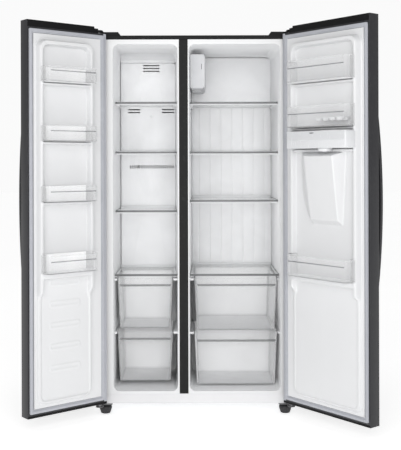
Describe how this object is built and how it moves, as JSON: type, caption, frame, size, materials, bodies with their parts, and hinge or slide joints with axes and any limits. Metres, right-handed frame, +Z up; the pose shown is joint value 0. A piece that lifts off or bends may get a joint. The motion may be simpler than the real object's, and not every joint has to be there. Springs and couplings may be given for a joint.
{
  "type": "side by side refrigerator",
  "caption": "Tall two-door refrigerator with a narrow freezer on the left and a wider fresh-food side on the right, both doors open, with shelves, drawers, door bins and a water dispenser.",
  "frame": {"origin": "middle of the bounding box's footprint with both doors open, at floor level", "axes": "+X to the right seen from the front, +Y from the doors towards the back, +Z up"},
  "size_m": [1.5464, 1.0684, 1.764],
  "materials": {
    "graphite_paint": "satin dark graphite paint",
    "door_skin": null,
    "galvanised_steel": "galvanised sheet",
    "zinc_steel": "zinc plated",
    "foam": "rigid insulating foam",
    "white_liner": "satin white",
    "white_paint": "white paint",
    "frosted_white": "frosted white",
    "black_plastic": "black",
    "dark_strip": "dark grey strip",
    "compressor_paint": "black paint",
    "aluminium": "bare",
    "shelf_glass": "clear toughened glass with light trims",
    "clear_plastic": "clear",
    "grey_gasket": "light grey",
    "dark_foot": "dark grey"
  },
  "bodies": {
    "cabinet": {"outer_wrap": "graphite_paint", "back_panel": "galvanised_steel", "base_plate": "galvanised_steel", "cabinet_foam": "foam", "freezer_liner": "white_liner", "fridge_liner": "white_liner", "kick_panel": "white_paint", "top_trim": "black_plastic", "divider_strip": "dark_strip", "machine_room_cover": "galvanised_steel", "compressor": "compressor_paint", "evaporator_cover": "white_liner", "evaporator": "aluminium", "fridge_duct_cover": "white_liner", "lamp_box": "frosted_white", "hinge_cover_left": "black_plastic", "upper_hinge_left": "zinc_steel", "lower_hinge_left": "zinc_steel", "hinge_cover_right": "black_plastic", "upper_hinge_right": "zinc_steel", "lower_hinge_right": "zinc_steel", "freezer_shelf_1": "shelf_glass", "fridge_shelf_1": "shelf_glass", "freezer_shelf_2": "shelf_glass", "fridge_shelf_2": "shelf_glass", "freezer_shelf_3": "shelf_glass", "fridge_shelf_3": "shelf_glass", "freezer_drawer_cover": "shelf_glass", "crisper_cover": "shelf_glass"},
    "freezer_door": {"freezer_door_shell": "door_skin", "freezer_door_top_cap": "black_plastic", "freezer_door_bottom_cap": "black_plastic", "freezer_door_gasket": "grey_gasket", "freezer_door_liner": "white_liner", "freezer_door_handle": "door_skin"},
    "fridge_door": {"fridge_door_shell": "door_skin", "fridge_door_top_cap": "black_plastic", "fridge_door_bottom_cap": "black_plastic", "fridge_door_gasket": "grey_gasket", "fridge_door_liner": "white_liner", "fridge_door_handle": "door_skin", "water_tank": "clear_plastic", "dispenser_housing": "black_plastic"},
    "dispenser_lever": {"dispenser_lever": "black_plastic"},
    "evaporator_fan": {"evaporator_fan": "black_plastic"},
    "freezer_drawer_upper": {"freezer_drawer_upper": "clear_plastic"},
    "freezer_drawer_lower": {"freezer_drawer_lower": "clear_plastic"},
    "crisper_upper": {"crisper_upper": "clear_plastic"},
    "crisper_lower": {"crisper_lower": "clear_plastic"},
    "front_foot_left": {"front_foot_left": "dark_foot"},
    "front_foot_right": {"front_foot_right": "dark_foot"},
    "rear_roller_left": {"rear_roller_left": "dark_foot"},
    "rear_roller_right": {"rear_roller_right": "dark_foot"},
    "freezer_bin_1": {"freezer_bin_1": "clear_plastic"},
    "freezer_bin_2": {"freezer_bin_2": "clear_plastic"},
    "freezer_bin_3": {"freezer_bin_3": "clear_plastic"},
    "freezer_bin_4": {"freezer_bin_4": "clear_plastic"},
    "fridge_bin_1": {"fridge_bin_1": "clear_plastic"},
    "fridge_bin_2": {"fridge_bin_2": "clear_plastic"},
    "fridge_bin_3": {"fridge_bin_3": "clear_plastic"}
  },
  "joints": [
    {"name": "freezer_door_hinge", "type": "hinge", "parent": "cabinet", "child": "freezer_door", "pos_m": [-0.44426, -0.11651, 0], "axis": [0, 0, -1], "range_deg": [-140.8, 5]},
    {"name": "fridge_door_hinge", "type": "hinge", "parent": "cabinet", "child": "fridge_door", "pos_m": [0.42574, -0.11651, 0], "axis": [0, 0, 1], "range_deg": [-128.4, 15]},
    {"name": "freezer_drawer_upper_slide", "type": "slide", "parent": "cabinet", "child": "freezer_drawer_upper", "axis": [0, -1, 0], "range_m": [0, 0.24]},
    {"name": "freezer_drawer_lower_slide", "type": "slide", "parent": "cabinet", "child": "freezer_drawer_lower", "axis": [0, -1, 0], "range_m": [0, 0.24]},
    {"name": "crisper_upper_slide", "type": "slide", "parent": "cabinet", "child": "crisper_upper", "axis": [0, -1, 0], "range_m": [0, 0.33]},
    {"name": "crisper_lower_slide", "type": "slide", "parent": "cabinet", "child": "crisper_lower", "axis": [0, -1, 0], "range_m": [0, 0.22]},
    {"name": "freezer_bin_1_lift", "type": "slide", "parent": "freezer_door", "child": "freezer_bin_1", "axis": [0, 0, 1], "range_m": [0, 0.03]},
    {"name": "freezer_bin_2_lift", "type": "slide", "parent": "freezer_door", "child": "freezer_bin_2", "axis": [0, 0, 1], "range_m": [0, 0.03]},
    {"name": "freezer_bin_3_lift", "type": "slide", "parent": "freezer_door", "child": "freezer_bin_3", "axis": [0, 0, 1], "range_m": [0, 0.03]},
    {"name": "freezer_bin_4_lift", "type": "slide", "parent": "freezer_door", "child": "freezer_bin_4", "axis": [0, 0, 1], "range_m": [0, 0.03]},
    {"name": "fridge_bin_1_lift", "type": "slide", "parent": "fridge_door", "child": "fridge_bin_1", "axis": [0, 0, 1], "range_m": [0, 0.03]},
    {"name": "fridge_bin_2_lift", "type": "slide", "parent": "fridge_door", "child": "fridge_bin_2", "axis": [0, 0, 1], "range_m": [0, 0.03]},
    {"name": "fridge_bin_3_lift", "type": "slide", "parent": "fridge_door", "child": "fridge_bin_3", "axis": [0, 0, 1], "range_m": [0, 0.03]},
    {"name": "dispenser_lever_hinge", "type": "hinge", "parent": "fridge_door", "child": "dispenser_lever", "pos_m": [0.53738, -0.36362, 1.148], "axis": [-0.6211, 0.7837, 0], "range_deg": [0, 8]},
    {"name": "evaporator_fan_spin", "type": "hinge", "parent": "cabinet", "child": "evaporator_fan", "pos_m": [-0.24426, 0.35149, 1.52], "axis": [0, 1, 0], "continuous": true},
    {"name": "front_foot_left_turn", "type": "hinge", "parent": "cabinet", "child": "front_foot_left", "pos_m": [-0.42326, -0.04451, 0], "axis": [0, 0, 1], "continuous": true},
    {"name": "rear_roller_left_spin", "type": "hinge", "parent": "cabinet", "child": "rear_roller_left", "pos_m": [-0.41426, 0.47349, 0.022], "axis": [1, 0, 0], "continuous": true},
    {"name": "front_foot_right_turn", "type": "hinge", "parent": "cabinet", "child": "front_foot_right", "pos_m": [0.40474, -0.04451, 0], "axis": [0, 0, 1], "continuous": true},
    {"name": "rear_roller_right_spin", "type": "hinge", "parent": "cabinet", "child": "rear_roller_right", "pos_m": [0.39574, 0.47349, 0.022], "axis": [1, 0, 0], "continuous": true}
  ]
}
